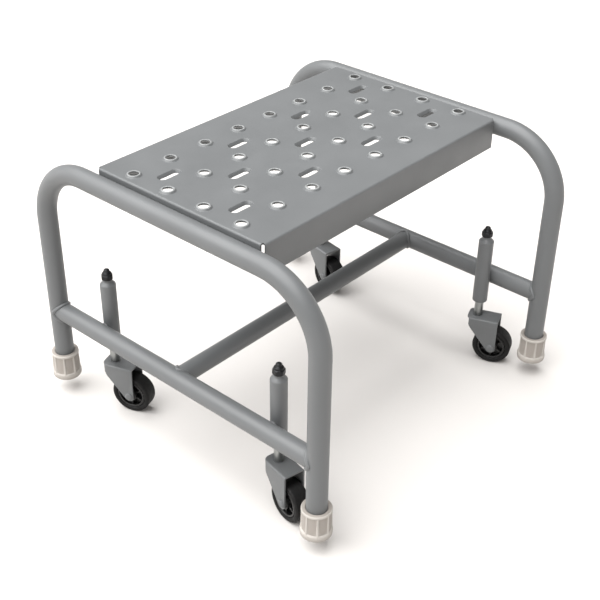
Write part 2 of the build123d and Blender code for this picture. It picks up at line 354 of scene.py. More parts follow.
def black_oxide():
    return surface(
        "black_oxide_steel", tone=(4, "1D1D1E", "343536"), gloss=(3, 0.30, 0.46),
        relief=(0.7, 0.03, 0.6), Metallic=0.85,
    )


def spring_wire():
    return surface(
        "oiled_drawn_spring_steel", tone=(3, "55565A", "747478"), gloss=(3, 0.26, 0.40),
        relief=(0.6, 0.02, 0.5), Metallic=1.0,
    )


finishes["zinc"] = turned_zinc()
finishes["black"] = black_oxide()
finishes["spring"] = spring_wire()
print("finishes", [material.name for material in finishes.values()])

# %% [markdown]
# ## Mesh helpers
# Most pieces of a caster were turned on a lathe or moulded round, so a lathe is the main
# tool: an outline of (radius, height) points, spun about Z. Real edges are never sharp, so
# `soften` first rounds the outline's corners with true arcs. Everything is written in
# millimetres in the piece's own place and moved into the frame's metres at the end, so each
# finished object sits at the origin.

# %% Mesh helpers
def soften(outline, radius, steps=3, ends=False):
    """Rounds the corners of a closed outline, or of an open one between its ends."""
    count = len(outline)
    result = []
    for i, point in enumerate(outline):
        here = Vector(point)
        before = Vector(outline[i - 1]) - here
        after = Vector(outline[(i + 1) % count]) - here
        fixed = (ends and i in (0, count - 1)) or here.x == 0
        reach = min(radius, before.length * 0.45, after.length * 0.45)
        if fixed or reach <= 0 or before.angle(after) > radians(175):
            result.append(tuple(here))
            continue
        half = before.angle(after) / 2
        middle = here + (before.normalized() + after.normalized()).normalized() * reach / cos(half)
        start = here + before.normalized() * reach - middle
        sweep = pi - 2 * half
        turn = 1 if before.normalized().cross(after.normalized()) < 0 else -1
        for step in range(steps + 1):
            angle = turn * sweep * step / steps
            x = start.x * cos(angle) - start.y * sin(angle)
            y = start.x * sin(angle) + start.y * cos(angle)
            result.append((middle.x + x, middle.y + y))
    return result


def lathe(outline, steps=64, shape=None):
    """A closed outline of (radius, height) spun about Z, as points and faces. shape may
    change a radius, given the angle, the radius and the height."""
    points, rings, faces = [], [], []
    for radius, height in outline:
        if radius == 0:
            rings.append([len(points)] * steps)
            points.append((0, 0, height))
            continue
        rings.append(list(range(len(points), len(points) + steps)))
        for step in range(steps):
            angle = 2 * pi * step / steps
            reach = shape(angle, radius, height) if shape else radius
            points.append((reach * cos(angle), reach * sin(angle), height))
    on_axis = outline[0][0] == 0 and outline[-1][0] == 0
    pairs = list(zip(rings, rings[1:])) + ([] if on_axis else [(rings[-1], rings[0])])
    for lower, upper in pairs:
        for step in range(steps):
            after = (step + 1) % steps
            corner_points = [lower[step], lower[after], upper[after], upper[step]]
            face = list(dict.fromkeys(corner_points))
            if len(face) > 2:
                faces.append(face)
    return points, faces


def strip_of_rings(rings, closed=False):
    """The points of rings that have the same number of points, and the faces between them."""
    steps = len(rings[0])
    faces = []
    for level in range(len(rings) if closed else len(rings) - 1):
        a, b = level * steps, (level + 1) % len(rings) * steps
        for step in range(steps):
            after = (step + 1) % steps
            faces.append((a + step, a + after, b + after, b + step))
    return [point for ring in rings for point in ring], faces


def to_mesh(made, name="start"):
    """Points in millimetres and faces as a mesh in metres."""
    mesh = bpy.data.meshes.new(name)
    mesh.from_pydata([Vector(point) * MM for point in made[0]], [], made[1])
    return mesh


ONE_POINT = 1e-6  # metres: points closer than this are merged


def piece(name, made, finish, body, stands_for=(), place=None, sharp=38):
    """Makes the object from (points, faces) in millimetres, or from a finished mesh in
    metres, and hands it to the frame."""
    mesh = made if isinstance(made, bpy.types.Mesh) else to_mesh(made)
    mesh.name = name
    if place is not None:
        mesh.transform(place)
    tidy = bmesh.new()
    tidy.from_mesh(mesh)
    bmesh.ops.remove_doubles(tidy, verts=tidy.verts, dist=ONE_POINT)
    bmesh.ops.recalc_face_normals(tidy, faces=tidy.faces)
    tidy.to_mesh(mesh)
    tidy.free()
    mesh.materials.clear()
    mesh.materials.append(finishes[finish])
    mesh.shade_smooth()
    mesh.set_sharp_from_angle(angle=radians(sharp))
    made_object = bpy.data.objects.new(name, mesh)
    scene.collection.objects.link(made_object)
    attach(made_object, body)
    if stands_for:
        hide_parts(*stands_for)
    return made_object


# %% [markdown]
# ## Geometry Nodes helpers
# What repeats or follows a path is grown by Geometry Nodes. A tree gets named inputs for its
# sizes. `grow` runs it on a start mesh and keeps what comes out as a plain mesh, because an
# exported model keeps no modifiers or instances.

# %% Geometry Nodes helpers
def new_tree(name, **sizes):
    """A geometry tree with a geometry in and out, and one number input for each size."""
    tree = bpy.data.node_groups.new(name, "GeometryNodeTree")
    tree.interface.new_socket("Geometry", in_out="INPUT", socket_type="NodeSocketGeometry")
    tree.interface.new_socket("Geometry", in_out="OUTPUT", socket_type="NodeSocketGeometry")
    for size, value in sizes.items():
        kind = {bool: "NodeSocketBool", int: "NodeSocketInt", float: "NodeSocketFloat"}[type(value)]
        socket = tree.interface.new_socket(size, in_out="INPUT", socket_type=kind)
        socket.default_value = value
    return tree, tree.nodes.new("NodeGroupInput").outputs


def finish_tree(tree, geometry, finish):
    """Ends a tree: instances made real, material, output."""
    real = add(tree, "GeometryNodeRealizeInstances", links={0: geometry})
    material = {"Material": finishes[finish]}
    painted = add(tree, "GeometryNodeSetMaterial", material, {"Geometry": real.outputs[0]})
    add(tree, "NodeGroupOutput", links={0: painted.outputs["Geometry"]})


def result_of(seed):
    """What an object's modifier makes of its mesh, as a plain mesh. The object is removed."""
    depsgraph = bpy.context.evaluated_depsgraph_get()
    mesh = bpy.data.meshes.new_from_object(seed.evaluated_get(depsgraph), depsgraph=depsgraph)
    bpy.data.objects.remove(seed)
    return mesh


def seeded(mesh, kind):
    """A mesh's object with one new modifier, and that modifier."""
    seed = bpy.data.objects.new("seed", mesh)
    scene.collection.objects.link(seed)
    return seed, seed.modifiers.new("step", kind)


def grow(tree, start, **sizes):
    """Runs a tree on a start mesh and returns the result as a plain mesh."""
    seed, modifier = seeded(start, "NODES")
    modifier.node_group = tree
    for item in tree.interface.items_tree:
        if item.item_type == "SOCKET" and item.name in sizes:
            modifier[item.identifier] = sizes[item.name]
    return result_of(seed)


def settle(mesh, kind, **settings):
    """Runs one plain modifier on a mesh and returns the result as a plain mesh."""
    seed, modifier = seeded(mesh, kind)
    for name, value in settings.items():
        setattr(modifier, name, value)
    return result_of(seed)


def swept(tree, curve, sizes):
    """A circle that follows a curve: Radius, Around and Capped are among the tree's sizes."""
    ring_links = {"Resolution": sizes["Around"], "Radius": sizes["Radius"]}
    ring = add(tree, "GeometryNodeCurvePrimitiveCircle", links=ring_links, mode="RADIUS").outputs["Curve"]
    skin_links = {"Curve": curve, "Profile Curve": ring, "Fill Caps": sizes["Capped"]}
    return add(tree, "GeometryNodeCurveToMesh", links=skin_links).outputs["Mesh"]


def line_mesh(points, closed=False):
    """Points in metres joined by edges: the start of a path."""
    mesh = bpy.data.meshes.new("path")
    edges = [(i, i + 1) for i in range(len(points) - 1)]
    mesh.from_pydata(points, edges + ([(len(points) - 1, 0)] if closed else []), [])
    return mesh


# %% [markdown]
# ## Side frames
# Each side frame is one steel tube, bent twice on a mandrel. It could be modelled as three
# straight cylinders and two quarter rings, but a tube is simpler than that: it is a circle
# that follows a path. The tree takes the four corner points, rounds the corners to the bend
# radius, and sweeps the circle along. Solidify then gives the tube its wall.

# %% Side frames
LEG_RADIUS = 11.75 * MM
LEG_WALL = 1.6 * MM
BEND_RADIUS = 74 * MM

tube_tree, tube_in = new_tree("bent tube", Bend=0.07, Radius=0.01, Around=64, Along=24, Capped=False)
path = add(tube_tree, "GeometryNodeMeshToCurve", links={"Mesh": tube_in["Geometry"]})
rounded = add(
    tube_tree, "GeometryNodeFilletCurve",
    links={"Curve": path.outputs[0], "Radius": tube_in["Bend"], "Count": tube_in["Along"]}, mode="POLY",
)
finish_tree(tube_tree, swept(tube_tree, rounded.outputs[0], tube_in), "enamel")

for side in ("left", "right"):
    low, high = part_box(f"side_frame_{side}")
    x = (low.x + high.x) / 2
    front, rear, top = low.y + LEG_RADIUS, high.y - LEG_RADIUS, high.z - LEG_RADIUS
    legs = line_mesh([(x, front, low.z), (x, front, top), (x, rear, top), (x, rear, low.z)])
    skin_only = grow(tube_tree, legs, Bend=BEND_RADIUS, Radius=LEG_RADIUS)
    mesh = settle(skin_only, "SOLIDIFY", thickness=LEG_WALL, offset=-1)
    tube = piece(f"bent_side_tube_{side}", mesh, "enamel", "frame", [f"side_frame_{side}"])
    print(tube.name, len(mesh.polygons), "faces")

# %% [markdown]
# ## Stretchers and cross tube
# A tube that is welded against another is first cut to the other's round, which a fitter
# calls coping. Cut that way, each point of its end stops where it meets the other tube: for a
# point `u` off the centre line, that is sqrt(R² - u²) short of the other tube's axis.

# %% Stretchers and cross tube
STRETCHER_RADIUS = 11.4 * MM
CROSS_RADIUS = 11.1 * MM
TUBE_WALL = 1.6 * MM


def coped_tube(radius, reach, other_radius, steps=64, spans=24):
    """A hollow tube along X, centred, its ends coped to tubes that stand across it at
    +-reach. other_radius is theirs. The tubes stand along Z."""
    def ring(skin_radius, along):
        points = []
        for step in range(steps):
            angle = 2 * pi * step / steps
            u = skin_radius * cos(angle)
            end = reach - sqrt(max(other_radius ** 2 - u ** 2, 0))
            points.append(Vector((along * end, u, skin_radius * sin(angle))) / MM)
        return points

    stations = [2 * span / spans - 1 for span in range(spans + 1)]
    outside = [ring(radius, along) for along in stations]
    inside = [ring(radius - TUBE_WALL, along) for along in reversed(stations)]
    return strip_of_rings(outside + inside, closed=True)


leg_low, leg_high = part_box("side_frame_left")
LEG_Y = leg_high.y - LEG_RADIUS
LEG_X = -(leg_low.x + leg_high.x) / 2
for side in ("left", "right"):
    low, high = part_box(f"stretcher_{side}")
    middle = (low + high) / 2
    place = Matrix.Translation(middle) @ Matrix.Rotation(pi / 2, 4, "Z")
    tube = coped_tube(STRETCHER_RADIUS, LEG_Y, LEG_RADIUS)
    piece(f"coped_stretcher_{side}", tube, "enamel", "frame", [f"stretcher_{side}"], place)
low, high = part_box("cross_tube")
STRETCHER_Z = (low.z + high.z) / 2
place = Matrix.Translation((low + high) / 2) @ Matrix.Rotation(pi / 2, 4, "X")
tube = coped_tube(CROSS_RADIUS, LEG_X, STRETCHER_RADIUS)
piece("coped_cross_tube", tube, "enamel", "frame", ["cross_tube"], place)
print("stretcher height", round(STRETCHER_Z, 4))

# %% [markdown]
# ## Tread: the folded lips
# The tread is one sheet, punched flat and then folded down on all four sides. Its lips are
# made first: one profile, which is a short flat, the fold's quarter circle, the drop and back
# up the inside, drawn out along each side. The folds stop short of the corners, as a real
# blank is notched there so that it can fold at all.

# %% Folded lips
SHEET = 2.0
FOLD_RADIUS = 2.4
CORNER_RELIEF = 4.0
FLAT_STRIP = 1.0
LIP_HEIGHT = 36.5
FOLD_STEPS = 8
EDGE_ROUND = 0.4
TOP = TREAD_TOP / MM
HALF_X = tread_high.x / MM
HALF_Y = tread_high.y / MM


def lip_profile():
    """The lip in section, from the top's flat round to the underside's, as (inset, height)."""
    inside = FOLD_RADIUS - SHEET
    bends = [pi / 2 * step / FOLD_STEPS for step in range(FOLD_STEPS + 1)]
    centre = TOP - FOLD_RADIUS
    outer = [(FOLD_RADIUS * (1 - sin(a)), centre + FOLD_RADIUS * cos(a)) for a in bends]
    inner = [(FOLD_RADIUS - inside * sin(a), centre + inside * cos(a)) for a in bends]
    bottom = TOP - LIP_HEIGHT
    tip = [(0, bottom + EDGE_ROUND), (EDGE_ROUND, bottom)]
    tip += [(SHEET - EDGE_ROUND, bottom), (SHEET, bottom + EDGE_ROUND)]
    flat = CORNER_RELIEF + FLAT_STRIP
    top = [(flat, TOP), (CORNER_RELIEF, TOP)]
    under = [(CORNER_RELIEF, TOP - SHEET), (flat, TOP - SHEET)]
    return top + outer + tip + inner[::-1] + under


def lips():
    """The four lips, each closed at its two ends, with the flat between them left open."""
    profile = lip_profile()
    count = len(profile)
    points, faces = [], []
    for turn, (across, along) in enumerate([(HALF_X, HALF_Y), (HALF_Y, HALF_X)] * 2):
        start = len(points)
        spin = Matrix.Rotation(turn * pi / 2, 3, "Z")
        for sign in (-1, 1):
            for inset, height in profile:
                end = along - max(inset, CORNER_RELIEF)
                points.append(tuple(spin @ Vector((across - inset, sign * end, height))))
        for i in range(count - 1):
            faces.append((start + i, start + i + 1, start + count + i + 1, start + count + i))
        faces += [tuple(range(first + 1, first + count - 1)) for first in (start, start + count)]
    return points, faces


print("lip section", len(lip_profile()), "points, tread top", round(TOP, 2))

# %% [markdown]
# ## Tread: one raised hole and one sunk slot
# The grip comes from holes whose rims were drawn upward, and the drainage from slots pressed
# down between them. Each is drawn once, as a small closed ring of surface with a narrow flat
# border at the top and underside. The border lies level with the sheet, so that the shading
# of the flat stays even where it meets the curves.

# %% One hole and one slot
BORDER = 1.0
RIM_BASE = 9.2
RIM_CREST = 7.2
RIM_UNDERSIDE = 8.4  # where the hollow under the rim meets the sheet
RIM_ROUND = 0.8
HOLE_RADIUS = 5.5
BORE_END = 0.2
SLOT_STRAIGHT = 9.3
SLOT_MOUTH = 6.2
SLOT_UNDERSIDE = 6.4
SLOT_RADIUS = 3.25
SLOT_DEPTH = 3.8
DISH_WALL = 1.3
DISH_ROUND = 0.9

rim_section = [
    (RIM_BASE + BORDER, 0), (RIM_BASE, 0), (RIM_CREST, RIM_RISE), (HOLE_RADIUS, RIM_RISE),
    (HOLE_RADIUS, BORE_END), (RIM_UNDERSIDE, -SHEET), (RIM_BASE + BORDER, -SHEET),
]
dish_section = [
    (SLOT_MOUTH + BORDER, 0), (SLOT_MOUTH, 0), (SLOT_RADIUS, -SLOT_DEPTH),
    (SLOT_RADIUS + DISH_WALL, -SLOT_DEPTH), (SLOT_UNDERSIDE, -SHEET), (SLOT_MOUTH + BORDER, -SHEET),
]


def stadium(radius, straight, height, steps=16):
    """A ring of points round a slot: two half circles and the straights between them."""
    turns = [pi * step / steps - pi / 2 for step in range(steps + 1)]
    ends = [(straight + radius * cos(a), radius * sin(a), height) for a in turns]
    return ends + [(-x, -y, z) for x, y, z in ends]


def punched(section, straight, roundness):
    """The surface round one opening. The section's two border rings stay sharp and level."""
    soft = soften(section, roundness, steps=4, ends=True)
    return to_mesh(strip_of_rings([stadium(radius, straight, TOP + height) for radius, height in soft]))


def joined(meshes):
    """Several meshes as one."""
    tidy = bmesh.new()
    for mesh in meshes:
        tidy.from_mesh(mesh)
    result = bpy.data.meshes.new("joined")
    tidy.to_mesh(result)
    tidy.free()
    return result


hole = punched(rim_section, 0.0, RIM_ROUND)
slot = punched(dish_section, SLOT_STRAIGHT, DISH_ROUND)
print("hole", len(hole.polygons), "faces, slot", len(slot.polygons), "faces")

# %% [markdown]
# ## Tread: the pattern and the sheet
# Eight holes by four, with a slot in every other space, is a job for a grid of points. The
# first tree puts the shape that it is given on each point of a grid, or on every other point
# like the dark squares of a chessboard. The second tree finds every open edge at the top of
# the sheet and fills the flat between them, then does the same for the underside.

# %% Pattern and sheet
HOLE_PITCH = 53.4
HOLE_COLUMNS, HOLE_ROWS = 8, 4
SEAM = 5e-6  # metres: where pieces of the sheet meet this closely, they become one

pattern_tree, pattern_in = new_tree("pattern", Columns=8, Rows=4, Pitch=0.05, Every=1)


def whole(tree, operation, first, second):
    """One step of integer arithmetic."""
    return add(tree, "FunctionNodeIntegerMath", links={0: first, 1: second}, operation=operation).outputs[0]


def number(tree, operation, first, second):
    """One step of arithmetic. second is a socket or a plain number."""
    step = add(tree, "ShaderNodeMath", links={0: first}, operation=operation)
    if isinstance(second, (int, float)):
        step.inputs[1].default_value = second
    else:
        tree.links.new(second, step.inputs[1])
    return step.outputs[0]


def row_length(count):
    """The length of a row of points, from its first to its last."""
    gaps = number(pattern_tree, "SUBTRACT", pattern_in[count], 1)
    return number(pattern_tree, "MULTIPLY", gaps, pattern_in["Pitch"])


spots = add(
    pattern_tree, "GeometryNodeMeshGrid",
    links={
        "Size X": row_length("Columns"), "Size Y": row_length("Rows"),
        "Vertices X": pattern_in["Columns"], "Vertices Y": pattern_in["Rows"],
    },
)
index = add(pattern_tree, "GeometryNodeInputIndex").outputs[0]
column = whole(pattern_tree, "DIVIDE", index, pattern_in["Rows"])
row = whole(pattern_tree, "MODULO", index, pattern_in["Rows"])
left_over = whole(pattern_tree, "MODULO", whole(pattern_tree, "ADD", column, row), pattern_in["Every"])
equal = {"data_type": "INT", "operation": "EQUAL"}
used = add(pattern_tree, "FunctionNodeCompare", {3: 0}, {2: left_over}, **equal)
placed = add(
    pattern_tree, "GeometryNodeInstanceOnPoints",
    links={
        "Points": spots.outputs["Mesh"], "Selection": used.outputs[0], "Instance": pattern_in["Geometry"],
    },
)
finish_tree(pattern_tree, placed.outputs[0], "tread")

sheet_tree, sheet_in = new_tree("sheet between open edges", Top=0.33, Thickness=0.002)
half_sheet = number(sheet_tree, "MULTIPLY", sheet_in["Thickness"], 0.5)
middle = number(sheet_tree, "SUBTRACT", sheet_in["Top"], half_sheet)
neighbours = add(sheet_tree, "GeometryNodeInputMeshEdgeNeighbors").outputs["Face Count"]
open_edge = add(sheet_tree, "FunctionNodeCompare", {3: 1}, {2: neighbours}, **equal)
position = add(sheet_tree, "GeometryNodeInputPosition").outputs[0]
height = add(sheet_tree, "ShaderNodeSeparateXYZ", links={0: position}).outputs["Z"]
underside = number(sheet_tree, "SUBTRACT", sheet_in["Top"], sheet_in["Thickness"])
parts = [sheet_in["Geometry"]]
for side, level in (("GREATER_THAN", sheet_in["Top"]), ("LESS_THAN", underside)):
    on_level = add(sheet_tree, "FunctionNodeCompare", links={0: height, 1: middle}, operation=side)
    both = add(
        sheet_tree, "FunctionNodeBooleanMath", links={0: open_edge.outputs[0], 1: on_level.outputs[0]},
        operation="AND",
    )
    edges = {"Mesh": sheet_in["Geometry"], "Selection": both.outputs[0]}
    loops = add(sheet_tree, "GeometryNodeMeshToCurve", links=edges)
    filled = add(sheet_tree, "GeometryNodeFillCurve", links={0: loops.outputs[0]})
    lift = add(sheet_tree, "ShaderNodeCombineXYZ", links={"Z": level})
    moved = {"Geometry": filled.outputs[0], "Translation": lift.outputs[0]}
    parts.append(add(sheet_tree, "GeometryNodeTransform", links=moved).outputs[0])
together = sheet_tree.nodes.new("GeometryNodeJoinGeometry")
for part in parts:
    sheet_tree.links.new(part, together.inputs[0])
sealed = add(
    sheet_tree, "GeometryNodeMergeByDistance", {"Distance": SEAM}, {"Geometry": together.outputs[0]}
)
finish_tree(sheet_tree, sealed.outputs[0], "tread")

pitch = HOLE_PITCH * MM
holes = grow(pattern_tree, hole, Columns=HOLE_COLUMNS, Rows=HOLE_ROWS, Pitch=pitch, Every=1)
slots = grow(pattern_tree, slot, Columns=HOLE_COLUMNS - 1, Rows=HOLE_ROWS - 1, Pitch=pitch, Every=2)
open_sheet = settle(joined([to_mesh(lips()), holes, slots]), "WELD", merge_threshold=SEAM)
mesh = grow(sheet_tree, open_sheet, Top=TREAD_TOP, Thickness=SHEET * MM)
tread = piece("punched_and_folded_tread", mesh, "tread", "frame", ["tread"], sharp=50)
check = bmesh.new()
check.from_mesh(tread.data)
print("tread", len(tread.data.polygons), "faces, open edges", sum(edge.is_boundary for edge in check.edges))
check.free()

# %% [markdown]
# ## Weld beads
# Everything is held together by short welds. A bead is a tube that follows the joint, but a
# real one is a row of overlapping puddles, so the tree swells the tube's radius with a sine
# of the distance along it. Each path comes from where the two round surfaces meet.

# %% Weld beads
bead_tree, bead_in = new_tree(
    "weld bead", Radius=0.002, Step=0.0022, Swell=0.16, Around=12, Capped=True
)
bead_path = add(bead_tree, "GeometryNodeMeshToCurve", links={"Mesh": bead_in["Geometry"]})
along = add(bead_tree, "GeometryNodeSplineParameter").outputs["Length"]
phase = number(bead_tree, "MULTIPLY", number(bead_tree, "DIVIDE", along, bead_in["Step"]), 2 * pi)
wave = add(bead_tree, "ShaderNodeMath", links={0: phase}, operation="SINE").outputs[0]
swell = number(bead_tree, "ADD", number(bead_tree, "MULTIPLY", wave, bead_in["Swell"]), 1)
bead_radius = add(
    bead_tree, "GeometryNodeSetCurveRadius", links={"Curve": bead_path.outputs[0], "Radius": swell}
)
finish_tree(bead_tree, swept(bead_tree, bead_radius.outputs[0], bead_in), "enamel")


def round_path(point, steps=120):
    """A closed path through point(angle), in metres."""
    return line_mesh([point(2 * pi * step / steps) for step in range(steps)], closed=True)


def saddle(radius, other_radius, angle):
    """On a tube of this radius that butts against another: across, up, and back from its axis."""
    across, rise = radius * cos(angle), radius * sin(angle)
    return across, rise, sqrt(max(other_radius ** 2 - across ** 2, 0))


def leg_joint(x, y):
    """Round a stretcher's end, where it meets a leg."""
    def point(angle):
        across, rise, back_off = saddle(STRETCHER_RADIUS, LEG_RADIUS, angle)
        return (x + across, y - copysign(back_off, y), STRETCHER_Z + rise)
    return round_path(point)


def cross_joint(x):
    """Round the cross tube's end, where it meets a stretcher."""
    def point(angle):
        across, rise, back_off = saddle(CROSS_RADIUS, STRETCHER_RADIUS, angle)
        return (x - copysign(back_off, x), rise, STRETCHER_Z + across)
    return round_path(point)


def housing_joint(x, y):
    """A ring in the narrow gap between a caster's housing and its stretcher."""
    def point(angle):
        return (x, y + HOUSING_RING * cos(angle), STRETCHER_Z + HOUSING_RING * sin(angle))
    return round_path(point, 48)


def tread_joint(x, y):
    """A short straight run under the tread's edge, along a rail."""
    first = y - TREAD_WELD / 2
    count = round(TREAD_WELD / BEAD_STEP) + 1
    return line_mesh([(x, (first + BEAD_STEP * step) * MM, WELD_Z) for step in range(count)])


LEG_BEAD, CROSS_BEAD, HOUSING_BEAD, TREAD_BEAD = 2.5, 2.2, 1.6, 1.7
HOUSING_RING = 4.6 * MM
TREAD_WELD = 24
TREAD_WELDS_AT = (-95, 0, 95)
BEAD_STEP = 0.5
WELD_Z = leg_high.z - LEG_RADIUS - 5.5 * MM

paths = []
for x in (-LEG_X, LEG_X):
    paths += [(leg_joint(x, y), LEG_BEAD) for y in (-LEG_Y, LEG_Y)]
    paths.append((cross_joint(x), CROSS_BEAD))
for corner in corners:
    stem_x, stem_y = joints[f"swivel_{corner}"]["pos_m"][:2]
    gap_x = copysign(LEG_X - STRETCHER_RADIUS, stem_x)
    paths.append((housing_joint(gap_x, stem_y), HOUSING_BEAD))
for x in (-tread_high.x, tread_high.x):
    paths += [(tread_joint(x, y), TREAD_BEAD) for y in TREAD_WELDS_AT]
beads = joined([grow(bead_tree, path, Radius=radius * MM) for path, radius in paths])
piece("weld_beads", beads, "enamel", "frame", sharp=80)
print(len(paths), "beads,", len(beads.polygons), "faces")

# %% [markdown]
# ## Feet
# A foot is a moulded rubber cup, pressed over the end of its leg. Under a rounded rim it has
# eight shallow panels with a rib between each two, and below them a bell-shaped base. The
# lathe spins the outline, and a formula sinks the panels: a wave round the foot, flattened so
# that the panels are wide and the ribs narrow, and faded out above and below.

# %% Feet
PANELS = 8
PANEL_DEPTH = 1.3
PANEL_LOW, PANEL_HIGH = 7.2, 32.6
FADE_LOW, FADE_HIGH = 1.4, 1.2
RIB_EDGE, RIB_FOOT = 0.08, 0.24  # of the way from a rib's middle to a panel's middle
FOOT_HEIGHT = 35.5
SOLE = 7.0
BASE_RADIUS, WAIST_RADIUS, WALL_RADIUS, RIM_RADIUS = 18, 17.2, 16.6, 16.9
BASE_TOP, WAIST_HEIGHT, RIM_BOTTOM = 5, 8.5, 31.5
CUP_EDGE = 1.2
WALL_FROM = 16  # what lies beyond this radius is the cup's outer wall
PANEL_START = 0.75  # of its depth, which a panel has as soon as it leaves the rib
LEG = LEG_RADIUS / MM


def finely(outline, step):
    """The same outline with its long straight runs split up."""
    result = []
    for here, there in zip(outline, outline[1:]):
        count = ceil((Vector(there) - Vector(here)).length / step)
        result += [tuple(Vector(here).lerp(Vector(there), i / count)) for i in range(count)]
    return result + [outline[-1]]


boot_outside = [
    (0, 0), (BASE_RADIUS - 0.6, 0), (BASE_RADIUS, BASE_TOP), (WAIST_RADIUS, WAIST_HEIGHT),
    (WALL_RADIUS, RIM_BOTTOM), (RIM_RADIUS, RIM_BOTTOM + 1), (RIM_RADIUS, FOOT_HEIGHT),
]
boot_inside = [(LEG, FOOT_HEIGHT), (LEG, SOLE), (0, SOLE)]
boot = soften(boot_outside + boot_inside, CUP_EDGE, steps=4)
walls = [i for i, (radius, z) in enumerate(boot) if radius > WALL_FROM and 1 < z < FOOT_HEIGHT - 1]
boot = boot[:walls[0]] + finely(boot[walls[0]:walls[-1] + 1], 0.8) + boot[walls[-1] + 1:]


def smooth(value, start, end):
    """0 before start, 1 after end, and an even curve between."""
    t = min(max((value - start) / (end - start), 0), 1)
    return t * t * (3 - 2 * t)


def panelled(angle, radius, height):
    """The wall's radius with the panels sunk in. across runs from 0 on a rib to 1 mid-panel."""
    if radius < WALL_FROM:
        return radius
    across = 1 - abs((angle * PANELS / (2 * pi)) % 1 - 0.5) * 2
    rising = smooth(height, PANEL_LOW, PANEL_LOW + FADE_LOW)
    falling = 1 - smooth(height, PANEL_HIGH - FADE_HIGH, PANEL_HIGH)
    hollow = smooth(across, RIB_EDGE, RIB_FOOT) * (PANEL_START + (1 - PANEL_START) * across)
    return radius - PANEL_DEPTH * rising * falling * hollow


def at_each_corner(name, node, made, finish, body, places):
    """The same piece at each corner, in place of the frame's node where it has one."""
    pieces = {}
    for corner in corners:
        own_body = body if body == "frame" else f"{body}_{corner}"
        own = made.copy() if isinstance(made, bpy.types.Mesh) else made
        nodes = [f"{node}_{corner}"] if node else []
        pieces[corner] = piece(f"{name}_{corner}", own, finish, own_body, nodes, places[corner])
    return pieces


foot_place = {}
for corner in corners:
    low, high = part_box(f"foot_{corner}")
    foot_place[corner] = Matrix.Translation(((low.x + high.x) / 2, (low.y + high.y) / 2, low.z))
cup = lathe(boot, steps=160, shape=panelled)
at_each_corner("ribbed_rubber_foot", "foot", cup, "foot", "frame", foot_place)
print("foot", len(cup[1]), "faces")

# %% [markdown]
# ## Casters: where each one stands
# All four casters are the same, but each trails in its own direction, as casters left at rest
# do. The frame's joints tell where: the swivel joint lies on the stem and the wheel's joint
# on the axle, so the line from one to the other is the way the caster trails.

# %% Caster places
TRAIL = 23.0
WHEEL_RADIUS = 25.0
stem_place, axle_place = {}, {}
for corner in corners:
    stem_at = Vector(joints[f"swivel_{corner}"]["pos_m"])
    axle_at = Vector(joints[f"wheel_spin_{corner}"]["pos_m"])
    trailing = Vector((axle_at.x - stem_at.x, axle_at.y - stem_at.y))
    swivel = Vector((0, -1)).angle_signed(trailing)
    stem_place[corner] = Matrix.Translation((stem_at.x, stem_at.y, 0)) @ Matrix.Rotation(-swivel, 4, "Z")
    to_axle = Matrix.Translation((0, -TRAIL * MM, WHEEL_RADIUS * MM)) @ Matrix.Rotation(pi / 2, 4, "Y")
    axle_place[corner] = stem_place[corner] @ to_axle
    axle = [round(value, 4) for value in axle_place[corner].translation]
    print(corner, "trail", round(trailing.length, 4), "axle", axle)

# %% [markdown]
# ## Casters: housing, stem and lock nut
# The housing is a tube drawn in at its top to a narrow neck. Inside it the stem slides: it is
# turned from bar, with a shoulder, and ends in a short thread. The thread is drawn as plain
# rings, because at this size a ring and a true helix look the same. The nut's six sides come
# from cutting the lathe's radius back to a hexagon.

# %% Housing, stem and nut
HOUSING_BOTTOM = 88.4
CROWN_BASE = 176.4
CROWN_HEIGHT = 4
NECK_TOP = 183.4
HOUSING_RADIUS, HOUSING_BORE, HOUSING_ROUND = 9.5, 7.9, 0.9
NECK_RADIUS, NECK_BORE = 5.4, 4.3

housing_outline = [
    (HOUSING_BORE, HOUSING_BOTTOM), (HOUSING_RADIUS, HOUSING_BOTTOM), (HOUSING_RADIUS, CROWN_BASE),
    (NECK_RADIUS, CROWN_BASE + CROWN_HEIGHT), (NECK_RADIUS, NECK_TOP), (NECK_BORE, NECK_TOP),
    (NECK_BORE, CROWN_BASE), (HOUSING_BORE, CROWN_BASE),
]
housing = lathe(soften(housing_outline, HOUSING_ROUND, steps=4))
at_each_corner("spun_housing", "caster_housing", housing, "enamel", "frame", stem_place)

FORK_TOP = 65.7
FORK_PLATE = 2.0
UNDER_PLATE = FORK_TOP - FORK_PLATE
SHOULDER = 103.4
STEM_RADIUS, STEM_RIVET, STEM_RIVET_HEIGHT = 5.55, 6, 2
ROD_RADIUS = 4.0
THREAD_START = NECK_TOP + 1
stem_outline = [
    (0, UNDER_PLATE - STEM_RIVET_HEIGHT), (STEM_RIVET, UNDER_PLATE - STEM_RIVET_HEIGHT),
    (STEM_RIVET, UNDER_PLATE), (ROD_RADIUS, UNDER_PLATE), (ROD_RADIUS, FORK_TOP), (STEM_RADIUS, FORK_TOP),
    (STEM_RADIUS, SHOULDER), (ROD_RADIUS, SHOULDER), (ROD_RADIUS, THREAD_START), (0, THREAD_START),
]
stem = lathe(soften(stem_outline, radius=0.6), steps=48)
at_each_corner("turned_stem", "caster_stem", stem, "zinc", "swivel", stem_place)

